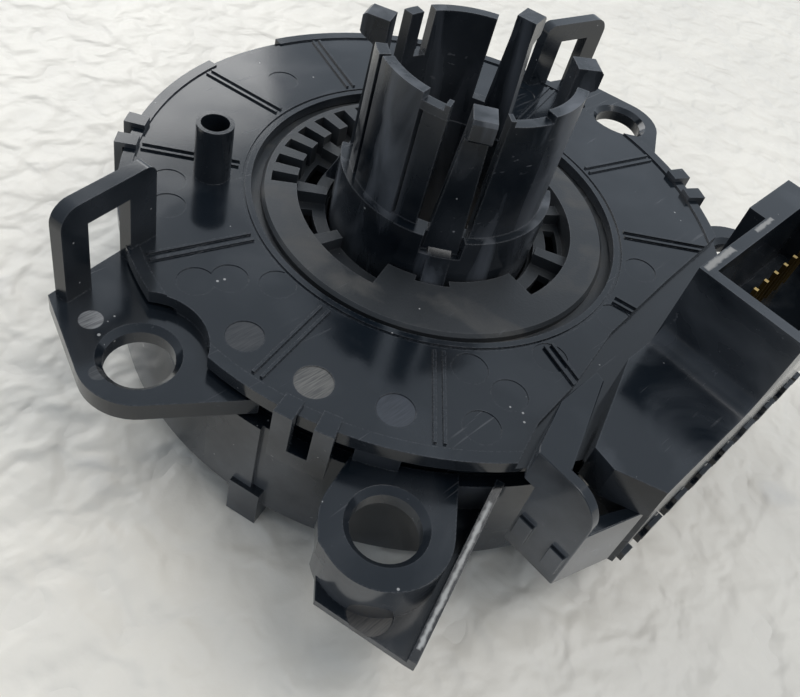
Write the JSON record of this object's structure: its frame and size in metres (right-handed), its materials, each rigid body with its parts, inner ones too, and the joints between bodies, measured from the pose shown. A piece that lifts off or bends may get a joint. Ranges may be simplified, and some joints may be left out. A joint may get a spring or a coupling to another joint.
{
  "type": "steering clock spring",
  "caption": "Steering clock spring: round black case with a split column collar, hook loops, screw ears and a harness connector on its rim.",
  "frame": {"origin": "on the column bore's axis, level with the stator cover's flat top face", "axes": "+Z along the bore axis towards the steering column side (the collar's hooks), -Y towards the harness connector, X through the two main screw ears"},
  "size_m": [0.1286, 0.1097, 0.0569],
  "materials": {
    "black_gloss": "semi-gloss moulded black plastic",
    "black_matte": "matte charcoal plastic",
    "white_plastic": "low-friction natural plastic",
    "ribbon_film": "laminated flat cable",
    "sheet_film": "thin slide film",
    "gold": "gold-plated contact"
  },
  "bodies": {
    "stator": {"stator_cover": "black_gloss", "stator_case": "black_gloss", "socket_housing": "black_gloss", "socket_back_cover": "black_gloss", "latch_cover": "black_gloss", "socket_terminals": "gold", "stator_lead_block": "black_matte", "upper_slide_sheet": "sheet_film", "lower_slide_sheet": "sheet_film"},
    "rotor": {"rotor_ring": "black_matte", "column_collar": "black_gloss", "rotor_hub": "black_matte", "rotor_lead_block": "black_matte", "wheel_socket_a": "black_gloss", "wheel_socket_b": "black_gloss", "wheel_terminals_a": "gold", "wheel_terminals_b": "gold"},
    "carrier": {"roller_carrier": "white_plastic", "flat_cable": "ribbon_film"},
    "turn_roller_body": {"turn_roller": "white_plastic"},
    "guide_roller_body_1": {"guide_roller_1": "white_plastic"},
    "guide_roller_body_2": {"guide_roller_2": "white_plastic"},
    "guide_roller_body_3": {"guide_roller_3": "white_plastic"},
    "guide_roller_body_4": {"guide_roller_4": "white_plastic"},
    "guide_roller_body_5": {"guide_roller_5": "white_plastic"}
  },
  "joints": [
    {"name": "rotor_turn", "type": "hinge", "parent": "stator", "child": "rotor", "pos_m": [0, 0, 0], "axis": [0, 0, 1], "range_deg": [-900, 900]},
    {"name": "carrier_turn", "type": "hinge", "parent": "stator", "child": "carrier", "pos_m": [0, 0, -0.0183], "axis": [0, 0, 1], "range_deg": [-380, 380]},
    {"name": "turn_roller_spin", "type": "hinge", "parent": "carrier", "child": "turn_roller_body", "pos_m": [0.038, 0, -0.012], "axis": [0, 0, 1], "continuous": true},
    {"name": "guide_roller_spin_1", "type": "hinge", "parent": "carrier", "child": "guide_roller_body_1", "pos_m": [0.0191, 0.03308, -0.012], "axis": [0, 0, 1], "continuous": true},
    {"name": "guide_roller_spin_2", "type": "hinge", "parent": "carrier", "child": "guide_roller_body_2", "pos_m": [-0.0191, 0.03308, -0.012], "axis": [0, 0, 1], "continuous": true},
    {"name": "guide_roller_spin_3", "type": "hinge", "parent": "carrier", "child": "guide_roller_body_3", "pos_m": [-0.0382, 0, -0.012], "axis": [0, 0, 1], "continuous": true},
    {"name": "guide_roller_spin_4", "type": "hinge", "parent": "carrier", "child": "guide_roller_body_4", "pos_m": [-0.0191, -0.03308, -0.012], "axis": [0, 0, 1], "continuous": true},
    {"name": "guide_roller_spin_5", "type": "hinge", "parent": "carrier", "child": "guide_roller_body_5", "pos_m": [0.0191, -0.03308, -0.012], "axis": [0, 0, 1], "continuous": true}
  ],
  "couplings": [
    {"joint": "carrier_turn", "follows": "rotor_turn", "ratio": 0.41579}
  ]
}
